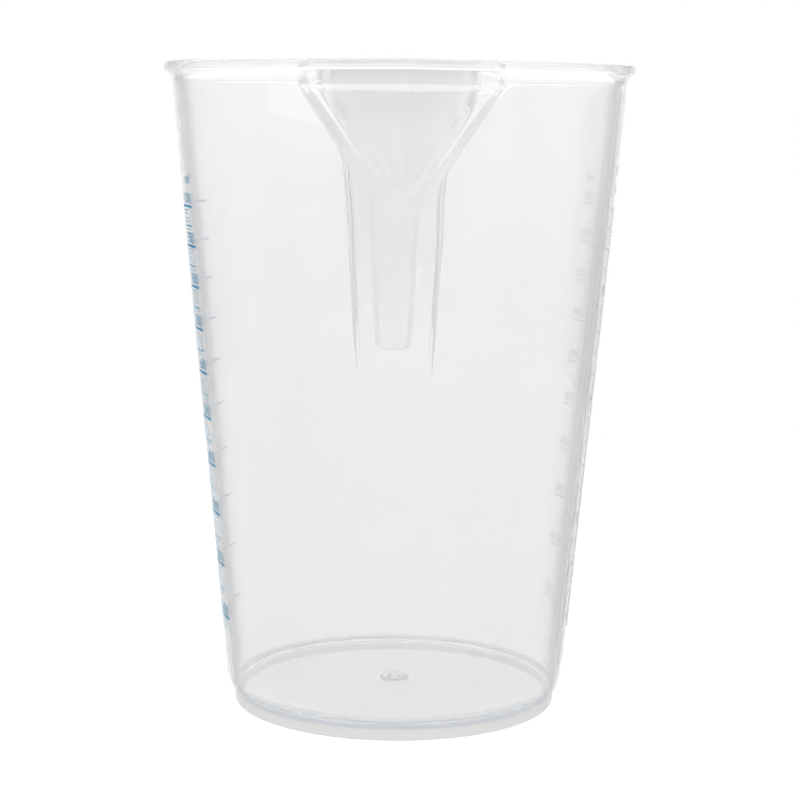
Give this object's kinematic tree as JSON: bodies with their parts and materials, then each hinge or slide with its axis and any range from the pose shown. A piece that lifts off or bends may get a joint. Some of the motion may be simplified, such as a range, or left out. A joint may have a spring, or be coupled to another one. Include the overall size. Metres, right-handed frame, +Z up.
{
  "type": "measuring cup",
  "caption": "Translucent conical mixing beaker with a foot ring, a V-shaped pouring spout, an open hook handle and volume scales on both sides.",
  "frame": {"origin": "on the cup's axis, in the plane that the foot ring stands on", "axes": "+Z up along the cup's axis, -Y towards the pouring spout, +Y towards the handle, -X the side with the printed scale, +X the side with the raised scale"},
  "size_m": [0.1234, 0.1725, 0.171],
  "materials": {
    "natural_plastic": "natural translucent polypropylene, frosted",
    "blue_ink": "printed ink"
  },
  "bodies": {
    "root": {"cup_wall": "natural_plastic", "cup_floor": "natural_plastic", "foot_ring": "natural_plastic", "rim_lip": "natural_plastic", "rim_collar": "natural_plastic", "pour_spout": "natural_plastic", "handle_root": "natural_plastic", "handle_grip": "natural_plastic", "ink_mid_marks": "blue_ink", "ink_major_marks": "blue_ink", "scale_panel": "natural_plastic", "raised_marks": "natural_plastic"}
  },
  "joints": []
}
